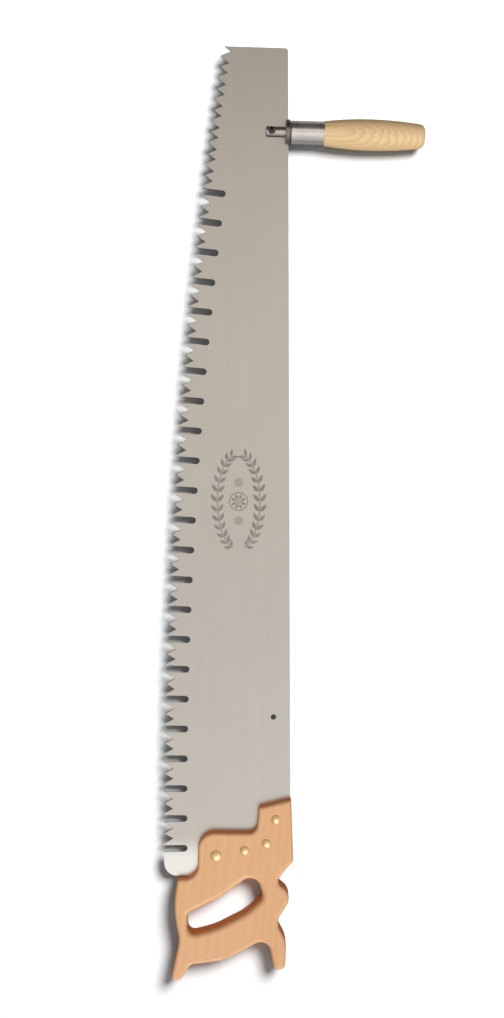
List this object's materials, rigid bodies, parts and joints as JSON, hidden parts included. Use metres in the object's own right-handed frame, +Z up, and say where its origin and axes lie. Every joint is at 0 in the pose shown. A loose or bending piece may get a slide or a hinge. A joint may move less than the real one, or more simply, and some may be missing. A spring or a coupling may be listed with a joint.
{
  "type": "one-man crosscut saw",
  "caption": "Large crosscut hand saw: tapered plate with gullets and peg teeth, wooden closed handle held by brass saw screws, and a screw-clamped wooden side handle near the toe.",
  "frame": {"origin": "centre of the base of the saw's box, on the surface it lies on", "axes": "+Y along the blade from the main handle to the toe; +X across it, from the teeth to the side handle; +Z up through the plate"},
  "size_m": [0.2899, 1.0264, 0.0332],
  "materials": {
    "blade_steel": "ground plate steel, satin, brushed along the blade",
    "handle_beech": "beech, lightly oiled",
    "grip_ash": "turned ash, waxed",
    "screw_brass": "turned brass, polished",
    "ferrule_steel": "turned steel",
    "bolt_steel": "blackened steel",
    "pin_steel": "bright turned steel"
  },
  "bodies": {
    "saw": {"blade": "blade_steel", "main_handle": "handle_beech", "saw_screw_1": "screw_brass", "saw_screw_2": "screw_brass", "saw_screw_3": "screw_brass", "saw_screw_4": "screw_brass", "saw_nut_1": "screw_brass", "saw_nut_2": "screw_brass", "saw_nut_3": "screw_brass", "saw_nut_4": "screw_brass", "clevis_bolt": "bolt_steel"},
    "collar": {"seat_collar": "ferrule_steel"},
    "side_handle": {"grip": "grip_ash", "ferrule": "ferrule_steel", "end_washer": "bolt_steel", "end_nut": "bolt_steel"},
    "pin": {"cross_pin": "pin_steel"}
  },
  "joints": [
    {"name": "collar_travel", "type": "slide", "parent": "saw", "child": "collar", "axis": [0.9994, -0.0349, 0], "range_m": [0, 0.006]},
    {"name": "grip_turn", "type": "hinge", "parent": "collar", "child": "side_handle", "pos_m": [0.08438, 0.41497, 0.0166], "axis": [0.9994, -0.0349, 0], "range_deg": [0, 1440]},
    {"name": "pin_pull", "type": "slide", "parent": "saw", "child": "pin", "axis": [0, 0, 1], "range_m": [0, 0.016]}
  ],
  "couplings": [
    {"joint": "grip_turn", "follows": "collar_travel", "rad_per_m": 4188.8}
  ]
}
